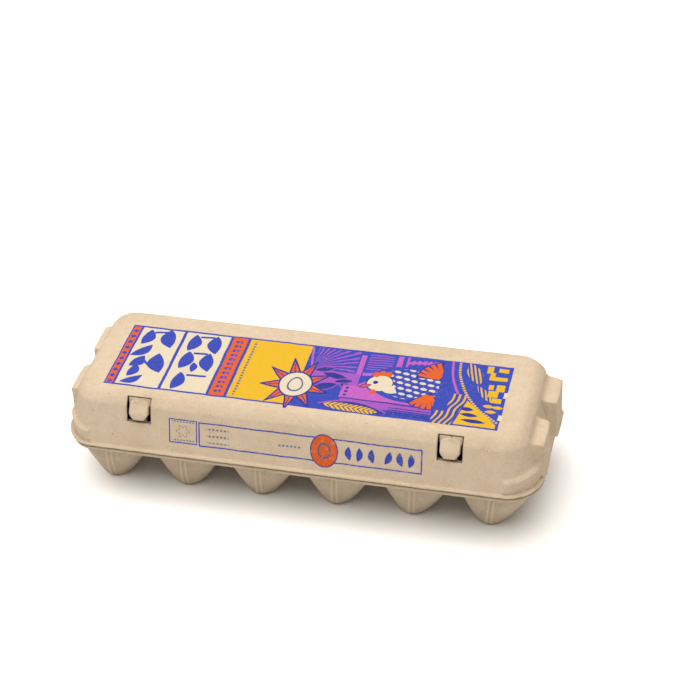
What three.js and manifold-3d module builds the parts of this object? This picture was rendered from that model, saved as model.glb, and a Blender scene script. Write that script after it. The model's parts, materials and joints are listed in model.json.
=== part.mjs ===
// Moulded-pulp egg carton for a dozen eggs, closed: a tray of cups, a hinged lid and a lock flap.
// Millimetres, +Z up. X runs along the length, -Y is the front (lock side), +Y the hinge side.
// The origin is on the floor, under the middle of the carton.
import * as THREE from 'three';
import { mergeVertices } from 'three/addons/utils/BufferGeometryUtils.js';
import Module from 'manifold-3d';

// --- driving dimensions -------------------------------------------------------------------
const cellPitch = 47.5;          // centre to centre of neighbouring eggs, both ways
const cellsPerRow = 6;
const rowNames = ['front', 'rear'];
const pulpWall = 1.6;            // wall of cups, posts, lid and flap
const cellGap = 0.15;            // each cup stands back this far from its cell's edge

const cupDepth = 36.3;           // floor to the underside of the tray deck
const footHalf = 8.5;            // half width of the flat foot of a cup
const footCornerRadius = 7.5;
const cupCornerRadius = 14;      // plan radius of a cup where it meets the deck
const cupFullness = 0.85;        // 1 is a straight pyramid, less is fuller
const cupLevels = [0, 0.1, 0.35, 0.68, 1];

const rimThickness = 2;          // tray deck and lid rim
const rimGap = 0.3;              // between the closed lid and the tray
const rimCornerRadius = 24;
const rimMargin = 6;             // rim beyond the outermost cells

const postTopZ = 66;             // top of the posts between four eggs
const postTopRadius = 4.5;
const postClearance = 0.5;       // from a post's base to the cup mouths around it

const lidWallMargin = 3.85;      // outside of the lid wall beyond the outermost cells, at its foot
const lidFootRadius = 22;
const lidShoulderRadius = 16;
const lidTopRadius = 12;
const lidWallHeight = 28;        // lid rim to shoulder
const lidDraft = THREE.MathUtils.degToRad(14.3);
const bevelHeight = 5.4;         // shoulder to flat top
const bevelInset = 5.2;

const cornerLugHeight = 9.6;     // undrafted lid corners, above the lid rim
const cornerLugLength = 19.5;    // along the front and rear walls, from the lid's end
const cornerLugWidth = 20;       // along the end walls, from the lid's front or rear
const endLugHeight = 24.5;       // two raised pads on each end wall, above the lid rim
const endLugInner = 4.8;         // pads run from here ...
const endLugOuter = 32;          // ... to here, either side of the middle
const endLugEdgeOut = 2.6;       // pad's side edges beyond the lid wall's foot
const endLugCrown = 2.6;         // how far the barrel-shaped face swells past its edges
const endLugDraft = 1.8;         // how far the face leans in by the top
const lugRimMargin = 0.8;        // lid rim beyond the pads

const windowCentreX = 94.9;      // lock windows and buttons, either side of the middle
const windowWidth = 15.2;
const windowSillZ = 16.6;        // above the lid rim
const windowHeadZ = 31.6;        // above the lid rim

const flapClearance = 1.2;       // lock flap to the lid's inner face
const flapHalfLength = 112;
const flapHeight = 24;
const flapCornerCut = 9;
const flapFootGap = 0.5;         // fold line to the flap's foot
const tongueWidth = 12;
const tongueHeight = 32.2;       // top of the tongue behind a button, from the fold line
const buttonSideGap = 1.3;       // to either side of the window
const buttonSillGap = 0.8;       // above the window sill
const buttonProud = 2.3;         // how far a button stands out of the lid's wall
const turnedGap = 0.3;           // between solids that meet at a slope

const hingeWebThickness = 1;     // rear living hinge
const hingeWebHalfLength = 120;
const foldWebThickness = 0.4;    // front living hinge under the lock flap

const arcSteps = 2;               // each rounded corner is cut into twice as many facets
const cutReach = 20;             // how far cutting solids run past what they cut

// --- sizes that follow --------------------------------------------------------------------
const cellsHalfX = cellPitch * cellsPerRow / 2;
const cellsHalfY = cellPitch * rowNames.length / 2;
const cupTopHalf = cellPitch / 2 - cellGap;
const cupInset = pulpWall * 1.08;                     // the wall measured level on a sloping side
const mouthHalf = cupTopHalf - cupInset;
const mouthRadius = cupCornerRadius - cupInset;

const deckTopZ = cupDepth + rimThickness;
const rimHalfX = cellsHalfX + rimMargin;
const rimHalfY = cellsHalfY + rimMargin;
const lidRimZ = deckTopZ + rimGap;
const lidFootZ = lidRimZ + rimThickness;

const draftSlope = Math.tan(lidDraft);
const lidShoulderZ = lidFootZ + lidWallHeight;
const lidTopZ = lidShoulderZ + bevelHeight;
const lidFootX = cellsHalfX + lidWallMargin;
const lidFootY = cellsHalfY + lidWallMargin;
const lidInset = pulpWall / Math.cos(lidDraft);       // the lid's wall measured level
const shoulderInset = lidWallHeight * draftSlope;

// --- solids -------------------------------------------------------------------------------
const wasm = await Module();
wasm.setup();

function toSolid(geometry) {
  const bare = geometry.clone();
  bare.deleteAttribute('normal');
  bare.deleteAttribute('uv');
  const merged = mergeVertices(bare, 1e-4);
  return new wasm.Manifold(new wasm.Mesh({
    numProp: 3,
    vertProperties: Float32Array.from(merged.attributes.position.array),
    triVerts: Uint32Array.from(merged.index.array),
  }));
}

function toGeometry(solid) {
  const mesh = solid.getMesh();
  const geometry = new THREE.BufferGeometry();
  geometry.setAttribute('position', new THREE.BufferAttribute(mesh.vertProperties, 3));
  geometry.setIndex(new THREE.BufferAttribute(mesh.triVerts, 1));
  geometry.computeVertexNormals();
  return geometry;
}

// A block from one corner to the opposite one.
function block(low, high) {
  const size = high.map((value, axis) => value - low[axis]);
  const middle = high.map((value, axis) => (value + low[axis]) / 2);
  return new THREE.BoxGeometry(...size).translate(...middle);
}

function roundedRectangle(halfX, halfY, radius, x = 0, y = 0) {
  const corner = Math.min(radius, halfX, halfY);
  const shape = new THREE.Shape();
  const centres = [[1, 1], [-1, 1], [-1, -1], [1, -1]];
  centres.forEach(([signX, signY], quarter) => {
    const start = quarter * Math.PI / 2;
    shape.absarc(x + signX * (halfX - corner), y + signY * (halfY - corner), corner, start, start + Math.PI / 2);
  });
  return shape;
}

// The outline of a shape as a ring of points at one height.
function ring(shape, z) {
  return shape.getPoints(arcSteps).map((point) => new THREE.Vector3(point.x, point.y, z));
}

// A closed solid through rings with equal numbers of points. Its first and last rings are capped,
// so a path up the outside and down the inside makes a cup, and the reverse makes a cover.
function loft(rings) {
  const count = rings[0].length;
  const indices = [];
  rings.slice(1).forEach((_, level) => {
    for (let i = 0; i < count; i += 1) {
      const next = (i + 1) % count;
      const [a, b] = [level * count + i, level * count + next];
      const [c, d] = [a + count, b + count];
      indices.push(a, b, d, a, d, c);
    }
  });
  const last = (rings.length - 1) * count;
  for (let i = 1; i < count - 1; i += 1) {
    indices.push(0, i + 1, i);
    indices.push(last, last + i, last + i + 1);
  }
  const geometry = new THREE.BufferGeometry().setFromPoints(rings.flat());
  geometry.setIndex(indices);
  geometry.computeVertexNormals();
  return geometry;
}

// --- tray ---------------------------------------------------------------------------------
function cellCentre(row, column) {
  return [
    (column - (cellsPerRow - 1) / 2) * cellPitch,
    (row - (rowNames.length - 1) / 2) * cellPitch,
  ];
}

const columns = Array.from({ length: cellsPerRow }, (_, column) => column);
const cells = rowNames.flatMap((_, row) => columns.map((column) => cellCentre(row, column)));

// The strip along the rear of both rims that the living hinge fills.
function hingeNotch() {
  return toSolid(block(
    [-hingeWebHalfLength, rimHalfY - hingeWebThickness, -cutReach],
    [hingeWebHalfLength, rimHalfY + cutReach, lidTopZ],
  ));
}

function trayDeck() {
  const outline = roundedRectangle(rimHalfX, rimHalfY, rimCornerRadius);
  outline.holes = cells.map(([x, y]) => roundedRectangle(mouthHalf, mouthHalf, mouthRadius, x, y));
  const postHoles = postPlaces.map((x) => {
    const hole = new THREE.Path();
    hole.absarc(x, 0, postBaseRadius - pulpWall, 0, Math.PI * 2);
    return hole;
  });
  outline.holes.push(...postHoles);
  const plate = new THREE.ExtrudeGeometry(outline, {
    depth: rimThickness, bevelEnabled: false, curveSegments: arcSteps,
  });
  return toGeometry(toSolid(plate.translate(0, 0, cupDepth)).subtract(hingeNotch()));
}

function cupHalf(height) {
  return footHalf + (cupTopHalf - footHalf) * (height / cupDepth) ** cupFullness;
}

function cupRadius(height) {
  return footCornerRadius + (cupCornerRadius - footCornerRadius) * (height / cupDepth);
}

function eggCup(x, y) {
  const cupRing = (height, inset) => ring(
    roundedRectangle(cupHalf(height) - inset, cupHalf(height) - inset, cupRadius(height) - inset, x, y),
    height,
  );
  const outside = cupLevels.map((share) => cupRing(share * cupDepth, 0));
  const inside = cupLevels.map((share) => cupRing(Math.max(share * cupDepth, pulpWall), cupInset));
  return loft([...outside, ...inside.reverse()]);
}

// A post stands where four cups meet, as wide as the cup mouths around it allow.
const mouthArcDistance = Math.SQRT2 * (cellPitch / 2 - (mouthHalf - mouthRadius));
const postBaseRadius = mouthArcDistance - mouthRadius - postClearance;
const postPlaces = columns.slice(1).map((column) => (column - cellsPerRow / 2) * cellPitch);

function centrePost(x) {
  const postRing = (radius, z) => ring(roundedRectangle(radius, radius, radius, x, 0), z);
  return loft([
    postRing(postTopRadius - pulpWall, postTopZ - pulpWall),
    postRing(postBaseRadius - pulpWall, deckTopZ),
    postRing(postBaseRadius, deckTopZ),
    postRing(postTopRadius, postTopZ),
  ]);
}

function rearHingeWeb() {
  return block(
    [-hingeWebHalfLength, rimHalfY - hingeWebThickness, cupDepth],
    [hingeWebHalfLength, rimHalfY, lidFootZ],
  );
}

// --- lid ----------------------------------------------------------------------------------
// The lid's outline at its foot, shoulder and top, each drawn in by an inset.
function lidBlank(inset, footZ, topZ) {
  const shoulder = shoulderInset + inset;
  const top = shoulderInset + bevelInset + inset * 0.6;
  return loft([
    ring(roundedRectangle(lidFootX - inset, lidFootY - inset, lidFootRadius - inset), footZ),
    ring(roundedRectangle(lidFootX - inset, lidFootY - inset, lidFootRadius - inset), lidFootZ),
    ring(roundedRectangle(lidFootX - shoulder, lidFootY - shoulder, lidShoulderRadius - inset), lidShoulderZ),
    ring(roundedRectangle(lidFootX - top, lidFootY - top, lidTopRadius - inset), topZ),
  ]);
}

// The lid's lower corners stand straight up from the rim instead of leaning in.
function cornerLugs(inset, footZ, topZ) {
  const outline = roundedRectangle(lidFootX - inset, lidFootY - inset, lidFootRadius - inset);
  const column = toSolid(loft([ring(outline, footZ), ring(outline, topZ)]));
  const corners = [[1, 1], [-1, 1], [-1, -1], [1, -1]].map(([signX, signY]) => {
    const nearX = lidFootX - cornerLugLength + inset;
    const nearY = lidFootY - cornerLugWidth + inset;
    const far = lidFootX + cutReach;
    return toSolid(block(
      [Math.min(signX * nearX, signX * far), Math.min(signY * nearY, signY * far), footZ],
      [Math.max(signX * nearX, signX * far), Math.max(signY * nearY, signY * far), topZ],
    ));
  });
  return wasm.Manifold.union(corners).intersect(column);
}

// A pad's plan: flat sides, and a face that swells between them.
function padOutline(sideX, sideY, out, inset) {
  const nearY = sideY * (sideY > 0 ? endLugInner + inset : endLugOuter - inset);
  const farY = sideY * (sideY > 0 ? endLugOuter - inset : endLugInner + inset);
  const edgeX = out - inset;
  const crown = new THREE.QuadraticBezierCurve(
    new THREE.Vector2(edgeX, nearY),
    new THREE.Vector2(edgeX + 2 * endLugCrown, (nearY + farY) / 2),
    new THREE.Vector2(edgeX, farY),
  ).getPoints(arcSteps * 2);
  const root = lidFootX - shoulderInset - cutReach;
  const points = [new THREE.Vector2(root, nearY), ...crown, new THREE.Vector2(root, farY)];
  return sideX > 0 ? points : points.map((point) => new THREE.Vector2(-point.x, point.y)).reverse();
}

function endPads(inset, footZ, topZ) {
  const pads = [[1, 1], [1, -1], [-1, 1], [-1, -1]].map(([sideX, sideY]) => {
    const foot = padOutline(sideX, sideY, lidFootX + endLugEdgeOut, inset);
    const top = padOutline(sideX, sideY, lidFootX + endLugEdgeOut - endLugDraft, inset);
    return toSolid(loft([
      foot.map((point) => new THREE.Vector3(point.x, point.y, footZ)),
      top.map((point) => new THREE.Vector3(point.x, point.y, topZ)),
    ]));
  });
  return wasm.Manifold.union(pads);
}

function lidShell() {
  const padTop = lidFootZ + endLugHeight;
  const lugTop = lidFootZ + cornerLugHeight;
  const below = lidFootZ - cutReach;
  const outside = wasm.Manifold.union([
    toSolid(lidBlank(0, lidFootZ - 0.5, lidTopZ)),
    cornerLugs(0, lidFootZ - 0.5, lugTop),
    endPads(0, lidFootZ - 0.5, padTop),
  ]);
  const inside = wasm.Manifold.union([
    toSolid(lidBlank(lidInset, below, lidTopZ - pulpWall)),
    cornerLugs(lidInset, below, lugTop - pulpWall),
    endPads(lidInset, below, padTop - pulpWall),
  ]);
  const windows = [-1, 1].map((side) => toSolid(block(
    [side * windowCentreX - windowWidth / 2, -lidFootY - cutReach, lidFootZ + windowSillZ],
    [side * windowCentreX + windowWidth / 2, -lidFootY + cutReach, lidFootZ + windowHeadZ],
  )));
  const flatFoot = toSolid(block(
    [-lidFootX - cutReach, -lidFootY - cutReach, below - cutReach],
    [lidFootX + cutReach, lidFootY + cutReach, lidFootZ],
  ));
  return toGeometry(outside.subtract(inside).subtract(wasm.Manifold.union([...windows, flatFoot])));
}

function lidRim() {
  const plate = loft([lidRimZ, lidFootZ].map((z) => ring(
    roundedRectangle(rimHalfX, rimHalfY, rimCornerRadius), z,
  )));
  const rimUnderPads = endPads(-lugRimMargin, lidRimZ, lidFootZ);
  const hollow = [
    toSolid(lidBlank(lidInset, lidRimZ - cutReach, lidTopZ)),
    endPads(lidInset, lidRimZ - cutReach, lidTopZ),
  ];
  const solid = toSolid(plate).add(rimUnderPads);
  return toGeometry(solid.subtract(wasm.Manifold.union([...hollow, hingeNotch()])));
}

// --- lock flap, in its own plane: X along the carton, Y up the flap, Z out through the lid --
const foldZ = deckTopZ + foldWebThickness;
const lidInnerFootY = lidFootY - lidInset;
const flapMiddleInset = (flapClearance + pulpWall / 2) / Math.cos(lidDraft);
const foldY = -(lidInnerFootY + (lidFootZ - foldZ) * draftSlope - flapMiddleInset);

function placeOnFlap(geometry) {
  return geometry.rotateX(Math.PI / 2 - lidDraft).translate(0, foldY, foldZ);
}

function lockFlapPanel() {
  const topCorner = flapHalfLength - flapCornerCut;
  const shape = new THREE.Shape();
  shape.moveTo(-flapHalfLength, flapFootGap);
  shape.lineTo(flapHalfLength, flapFootGap);
  shape.lineTo(flapHalfLength, flapHeight - flapCornerCut);
  shape.lineTo(topCorner, flapHeight);
  for (const side of [1, -1]) {
    const [nearX, farX] = [1, -1].map((edge) => side * windowCentreX + edge * tongueWidth / 2);
    shape.lineTo(nearX, flapHeight);
    shape.lineTo(nearX, tongueHeight);
    shape.lineTo(farX, tongueHeight);
    shape.lineTo(farX, flapHeight);
  }
  shape.lineTo(-topCorner, flapHeight);
  shape.lineTo(-flapHalfLength, flapHeight - flapCornerCut);
  shape.closePath();
  const panel = new THREE.ExtrudeGeometry(shape, { depth: pulpWall, bevelEnabled: false });
  return placeOnFlap(panel.translate(0, 0, -pulpWall / 2));
}

// A button's side view: a foot over the sill, a face that stands out of the lid and a rounded head.
function lockButton(side) {
  const back = pulpWall / 2 + turnedGap;
  const lidFace = pulpWall / 2 + flapClearance + pulpWall;
  const face = lidFace + buttonProud;
  const foot = (lidFootZ + windowSillZ + buttonSillGap - foldZ) / Math.cos(lidDraft);
  const head = tongueHeight;
  const shape = new THREE.Shape();
  shape.moveTo(back, foot);
  shape.lineTo(lidFace + buttonProud * 0.4, foot);
  shape.lineTo(face, foot + buttonProud);
  shape.lineTo(face, head - 2 * buttonProud);
  shape.quadraticCurveTo(face, head, back, head);
  shape.closePath();
  const width = windowWidth - 2 * buttonSideGap;
  const button = new THREE.ExtrudeGeometry(shape, {
    depth: width, bevelEnabled: false, curveSegments: arcSteps * 2,
  });
  button.translate(0, 0, -width / 2).rotateY(-Math.PI / 2).translate(side * windowCentreX, 0, 0);
  return placeOnFlap(button);
}

function frontHingeWeb() {
  const halfWidth = flapMiddleInset - flapClearance / 2;
  return block(
    [-flapHalfLength, foldY - halfWidth, deckTopZ],
    [flapHalfLength, foldY + halfWidth, foldZ],
  );
}

// --- the carton ---------------------------------------------------------------------------
const pulp = { color: 0xcdb491, roughness: 0.95, metalness: 0 };
const pulpShade = { color: 0xb79c79, roughness: 0.95, metalness: 0 };
const carton = new THREE.Group();

function add(name, geometry, finish = pulp) {
  const mesh = new THREE.Mesh(geometry, new THREE.MeshStandardMaterial(finish));
  mesh.name = name;
  carton.add(mesh);
}

add('tray_deck', trayDeck());
rowNames.forEach((rowName, row) => {
  columns.forEach((column) => {
    const [x, y] = cellCentre(row, column);
    add(`egg_cup_${rowName}_${column + 1}`, eggCup(x, y), pulpShade);
  });
});
postPlaces.forEach((x, index) => add(`centre_post_${index + 1}`, centrePost(x), pulpShade));
add('rear_hinge_web', rearHingeWeb());
add('front_hinge_web', frontHingeWeb());
add('lid_shell', lidShell());
add('lid_rim', lidRim());
add('lock_flap_panel', lockFlapPanel(), pulpShade);
add('lock_button_left', lockButton(-1));
add('lock_button_right', lockButton(1));

export default carton;
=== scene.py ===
import json
import math

import bmesh
import bpy
from mathutils import Matrix, Vector, noise

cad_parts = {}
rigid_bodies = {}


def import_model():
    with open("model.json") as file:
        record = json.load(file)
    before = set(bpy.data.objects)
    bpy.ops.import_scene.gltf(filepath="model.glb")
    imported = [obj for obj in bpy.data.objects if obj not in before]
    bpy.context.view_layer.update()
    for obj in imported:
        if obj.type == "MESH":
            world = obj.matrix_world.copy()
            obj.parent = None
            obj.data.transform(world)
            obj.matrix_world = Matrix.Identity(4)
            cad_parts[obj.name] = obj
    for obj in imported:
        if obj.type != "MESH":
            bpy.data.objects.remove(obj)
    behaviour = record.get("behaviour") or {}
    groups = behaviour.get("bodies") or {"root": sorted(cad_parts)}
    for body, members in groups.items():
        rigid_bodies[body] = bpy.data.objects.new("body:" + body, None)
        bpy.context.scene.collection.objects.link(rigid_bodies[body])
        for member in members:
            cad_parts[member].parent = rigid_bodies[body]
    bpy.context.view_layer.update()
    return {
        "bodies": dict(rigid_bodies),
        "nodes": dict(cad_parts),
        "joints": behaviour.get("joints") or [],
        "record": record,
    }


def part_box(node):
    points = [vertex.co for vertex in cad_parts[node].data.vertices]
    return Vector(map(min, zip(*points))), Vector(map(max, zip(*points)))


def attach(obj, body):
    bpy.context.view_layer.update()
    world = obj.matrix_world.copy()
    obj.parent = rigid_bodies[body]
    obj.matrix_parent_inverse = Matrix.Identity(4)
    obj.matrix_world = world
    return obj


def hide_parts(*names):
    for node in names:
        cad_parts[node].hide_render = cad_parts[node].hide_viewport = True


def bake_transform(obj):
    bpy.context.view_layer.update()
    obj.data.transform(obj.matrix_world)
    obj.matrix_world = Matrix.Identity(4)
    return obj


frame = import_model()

# Everything below is worked out in millimetres and made metres at the end of each mesh.
mm = 0.001


def boxOf(node):
    low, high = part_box(node)
    return low / mm, high / mm


def clamp(value, low=0.0, high=1.0):
    return max(low, min(high, value))


def ease(low, high, value):
    # 0 before low, 1 after high, smooth between.
    t = clamp((value - low) / (high - low))
    return t * t * (3 - 2 * t)


def mix(a, b, share):
    return a + (b - a) * share


def alongKeys(keys, share):
    # Straight stretches between (share, value, value ...) keys.
    for here, there in zip(keys, keys[1:]):
        if share <= there[0]:
            t = (share - here[0]) / (there[0] - here[0])
            return [mix(a, b, t) for a, b in zip(here[1:], there[1:])]
    return list(keys[-1][1:])


deckHigh, rimHigh, lidHigh, panelHigh = (
    boxOf(node)[1] for node in ("tray_deck", "lid_rim", "lid_shell", "lock_flap_panel"))
cupLow = boxOf("egg_cup_front_1")[0]
buttonLow, buttonHigh = boxOf("lock_button_right")
cellPitch = boxOf("egg_cup_front_2")[0].x - cupLow.x
print("frame read, cells", round(cellPitch, 2), "mm apart")


def finishMesh(bm, name, material):
    bmesh.ops.remove_doubles(bm, verts=bm.verts[:], dist=0.02)
    bmesh.ops.scale(bm, vec=Vector((mm, mm, mm)), verts=bm.verts[:])
    mesh = bpy.data.meshes.new(name)
    bm.to_mesh(mesh)
    bm.free()
    for polygon in mesh.polygons:
        polygon.use_smooth = True
    piece = bpy.data.objects.new(name, mesh)
    bpy.context.scene.collection.objects.link(piece)
    mesh.materials.append(material)
    return piece


def thicken(piece, thickness, innerMaterial=None):
    # Gives a sheet its wall, inward from the side its faces point to.
    wall = piece.modifiers.new("wall", "SOLIDIFY")
    wall.thickness = thickness * mm
    wall.offset = -1
    if innerMaterial:
        piece.data.materials.append(innerMaterial)
        wall.material_offset = 1
        wall.material_offset_rim = 1
    return piece


def growRing(bm, edges):
    # Extrudes a ring of edges in place, and gives its new points and edges.
    grown = bmesh.ops.extrude_edge_only(bm, edges=edges)["geom"]
    return ([item for item in grown if isinstance(item, bmesh.types.BMVert)],
            [item for item in grown if isinstance(item, bmesh.types.BMEdge)])


def cutFaces(bm, wanted, place, normal, dist, **options):
    # Cuts only the faces whose middle is wanted.
    near = [face for face in bm.faces if wanted(face.calc_center_median())]
    around = set(near)
    for face in near:
        around.update(face.edges, face.verts)
    bmesh.ops.bisect_plane(bm, geom=list(around), plane_co=place, plane_no=normal, dist=dist, **options)


def faceTowards(bm, axis):
    # Turns an open sheet over if its faces point the other way along an axis.
    if sum(face.normal[axis] for face in bm.faces) < 0:
        bmesh.ops.reverse_faces(bm, faces=bm.faces[:])


def roughen(bm, amount, size, seed):
    # Pulp never comes off its mould quite flat.
    bm.normal_update()
    shift = Vector((seed * 17.3, seed * 5.1, seed * 9.7))
    moves = []
    for vert in bm.verts:
        wide = noise.noise(vert.co / size + shift)
        fine = noise.noise(vert.co / (size * 0.28) - shift)
        moves.append(vert.normal * (wide + 0.4 * fine) * amount)
    for vert, move in zip(bm.verts, moves):
        vert.co += move


lidShape = {
    "wall": 1.5,
    "foot": lidHigh.y,             # half width of the lid's wall at its foot
    "footX": lidHigh.x - 5.15,     # half length there, behind the pads
    "footRadius": 22.0,
    "shoulderZ": 28.0,             # above the rim
    "shoulderInset": 7.14,
    "shoulderRadius": 16.0,
    "topInset": 12.34,
    "topRadius": 12.0,
    "lengthSteps": 100,
    "endSteps": 76,
    "cornerSteps": 36,
    "topRings": 14,
    "padInner": 8.0,
    "padOuter": 32.0,
    "padFace": {"left": -1.0, "rightFront": 1.2, "rightRear": 2.8},    # out from the wall's foot
    "padCrown": 0.5,
    "padLevels": (22.9, 24.4, 27.9),    # foot, ledge and top of the slope above a pad
    "lugX": 127.0,
    "lugY": 30.9,
    "lugLevels": (6.0, 7.6, 12.0),
    "lugRise": 2.4,                # of the lug's ledge towards the carton's ends
    "ragged": 0.3,
    "uneven": (0.13, 16.0),        # how far, and over what width
}
lidFootZ = rimHigh.z
lidTopZ = lidHigh.z - 0.2


def stations(shape):
    # Places round a rounded rectangle, as (side, share along it).
    counts = [shape["endSteps"], shape["cornerSteps"], shape["lengthSteps"], shape["cornerSteps"]] * 2
    return [(side, step / count) for side, count in enumerate(counts) for step in range(count)]


def onOutline(station, halfX, halfY, radius):
    side, share = station
    quarter = side // 2
    straightX, straightY = halfX - radius, halfY - radius
    starts = [(halfX, -straightY), (straightX, halfY), (-halfX, straightY), (-straightX, -halfY)]
    ends = [(halfX, straightY), (-straightX, halfY), (-halfX, -straightY), (straightX, -halfY)]
    if side % 2 == 0:
        start, end = starts[quarter], ends[quarter]
        return mix(start[0], end[0], share), mix(start[1], end[1], share)
    centreX = straightX if quarter in (0, 3) else -straightX
    centreY = straightY if quarter < 2 else -straightY
    angle = (quarter + share) * math.pi / 2
    return centreX + radius * math.cos(angle), centreY + radius * math.sin(angle)


drawnIn = {"from": 126, "to": 147, "by": 2.6}    # the pulp has shrunk a little at its left end


def tuckIn(point):
    if point.x < -drawnIn["from"]:
        point.x += drawnIn["by"] * ease(drawnIn["from"], drawnIn["to"], -point.x)
    return point


# (share of the height, across, up): across from the ledge's face (0) to the wall behind (1), and up from
# the foot of the face (0) to the ledge (1) and on up the fillet behind it (2).
ledgeKeys = [
    (0.0, 0.0, 0.0), (0.12, 0.02, 0.5), (0.22, 0.08, 0.8), (0.32, 0.2, 0.93), (0.6, 0.62, 1.0),
    (0.75, 0.84, 1.1), (0.87, 0.96, 1.42), (1.0, 1.0, 2.0),
]
slopeKeys = [
    (0.0, 0.0, 0.0), (0.12, -0.06, 0.55), (0.22, 0.0, 0.9), (0.32, 0.14, 1.0), (0.72, 0.84, 1.38),
    (0.86, 0.96, 1.7), (1.0, 1.0, 2.0),
]


def ledgeProfile(z, low, ledge, high, keys):
    # Where a level that would be at height z on the plain wall goes on a ledge.
    if z <= low:
        return 0.0, z
    if z >= high:
        return 1.0, z
    across, rise = alongKeys(keys, (z - low) / (high - low))
    height = mix(low, ledge, rise) if rise <= 1 else mix(ledge, high, rise - 1)
    return across, height


def lidLevels(shape):
    # (inset from the foot's outline, height above the rim, corner radius) from the rim's edge to the top.
    rimInset = shape["foot"] - deckHigh.y + 0.35
    radius = shape["footRadius"]
    levels = [
        (rimInset + 0.25, -1.55, radius), (rimInset, -1.1, radius), (rimInset + 0.05, -0.5, radius),
        (rimInset + 0.35, -0.12, radius), (rimInset + 0.95, 0.0, radius), (-0.55, 0.05, radius),
        (-0.15, 0.3, radius),
    ]
    slope = shape["shoulderInset"] / shape["shoulderZ"]
    heights, z = [], 0.9
    while z < shape["shoulderZ"] - 3.2:
        heights.append(z)
        dense = 7.6 < z < 12.8 or 21.8 < z
        z += 0.5 if dense else 1.3
    while z < shape["shoulderZ"] - 1.6:
        heights.append(z)
        z += 0.5
    levels += [(z * slope, z, mix(radius, shape["shoulderRadius"], z / shape["shoulderZ"])) for z in heights]
    corners = [
        (heights[-1] * slope, heights[-1]), (shape["shoulderInset"], shape["shoulderZ"]),
        (shape["topInset"], lidTopZ - lidFootZ),
    ]
    # rounded shoulder, flat bevel, rounded top edge
    middle = ((corners[1][0] + corners[2][0]) / 2, (corners[1][1] + corners[2][1]) / 2)
    topEnd = (shape["topInset"] + 3.0, lidTopZ - lidFootZ)
    for start, bend, end, count in ((corners[0], corners[1], middle, 6), (middle, corners[2], topEnd, 7)):
        for step in range(1, count + 1):
            t = step / count
            inset = (1 - t) ** 2 * start[0] + 2 * t * (1 - t) * bend[0] + t * t * end[0]
            z = (1 - t) ** 2 * start[1] + 2 * t * (1 - t) * bend[1] + t * t * end[1]
            share = (inset - shape["shoulderInset"]) / (shape["topInset"] - shape["shoulderInset"])
            levels.append((inset, z, mix(shape["shoulderRadius"], shape["topRadius"], clamp(share))))
    return levels


def lidPoint(shape, station, level):
    inset, z, radius = level
    x, y = onOutline(station, shape["footX"] - inset, shape["foot"] - inset, radius)
    point = Vector((x, y, z))
    # undrafted lower corners
    rise = shape["lugRise"] * ease(shape["lugX"], shape["lugX"] + 16, abs(x))
    lugLevels = [level + rise for level in shape["lugLevels"]]
    across, lugZ = ledgeProfile(z, *lugLevels, slopeKeys)
    if 0 <= z < lugLevels[2]:
        lug = ease(shape["lugX"] - 0.6, shape["lugX"] + 0.6, abs(x)) \
            * ease(shape["lugY"] - 0.5, shape["lugY"] + 0.5, abs(y))
        footX, footY = onOutline(station, shape["footX"] - 0.1, shape["foot"] - 0.1, shape["footRadius"])
        point = point.lerp(Vector((mix(footX, x, across), mix(footY, y, across), lugZ)), lug)
    # two pads on each end wall
    out = abs(y)
    pad = ease(shape["padInner"] - 0.5, shape["padInner"] + 0.5, out) \
        * (1 - ease(shape["padOuter"] - 0.6, shape["padOuter"] + 0.6, out)) * (abs(x) > shape["lugX"])
    if pad > 0:
        span = (out - shape["padInner"]) / (shape["padOuter"] - shape["padInner"])
        crown = shape["padCrown"] * 4 * span * (1 - span)
        end = "left" if x < 0 else "rightFront" if y < 0 else "rightRear"
        face = shape["footX"] + shape["padFace"][end] + max(crown, 0)
        if z < 0.9:
            rimOut = max(abs(x), face + 0.9 * ease(0.9, -0.1, z))
            point.x = math.copysign(mix(abs(point.x), rimOut, pad), x)
        else:
            across, padZ = ledgeProfile(z, *shape["padLevels"], ledgeKeys)
            padPoint = Vector((math.copysign(mix(max(face, abs(x)), abs(x), across), x), y, padZ))
            point = point.lerp(padPoint, pad)
    return tuckIn(point) + Vector((0, 0, lidFootZ))


def makeLid(shape, material, innerMaterial):
    places = stations(shape)
    levels = lidLevels(shape)
    flat = levels[-1]
    bm = bmesh.new()
    bmesh.ops.create_circle(bm, segments=len(places), radius=1)
    index = bm.verts.layers.int.new("station")
    for number, vert in enumerate(bm.verts):
        vert[index] = number
        vert.co = lidPoint(shape, places[number], levels[0])
    edges = bm.edges[:]
    for level in levels[1:]:
        verts, edges = growRing(bm, edges)
        for vert in verts:
            vert.co = lidPoint(shape, places[vert[index]], level)
    # the flat top closes in rings onto a line down its middle
    halfY = shape["foot"] - flat[0]
    halfX = shape["footX"] - flat[0]
    for ring in range(1, shape["topRings"] + 1):
        verts, edges = growRing(bm, edges)
        inset = halfY * ring / shape["topRings"]
        radius = max(flat[2] * (1 - ring / shape["topRings"]), 0.0)
        for vert in verts:
            x, y = onOutline(places[vert[index]], halfX - inset, halfY - inset, radius)
            vert.co = tuckIn(Vector((x, y, lidTopZ)))
    for vert in bm.verts:
        if vert.co.z < lidFootZ + 0.02:     # torn edge of the rim
            vert.co.z += shape["ragged"] * noise.noise(vert.co / 4.0)
    bmesh.ops.remove_doubles(bm, verts=bm.verts[:], dist=0.02)
    bmesh.ops.recalc_face_normals(bm, faces=bm.faces[:])
    cutWindows(bm)
    roughen(bm, *shape["uneven"], 1)
    piece = finishMesh(bm, "lid", material)
    return thicken(piece, shape["wall"], innerMaterial)


lockWindow = {
    "centre": (buttonLow.x + buttonHigh.x) / 2,
    "width": 15.2,
    "sill": 16.6,                  # above the rim
    "head": 31.6,
}


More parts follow.
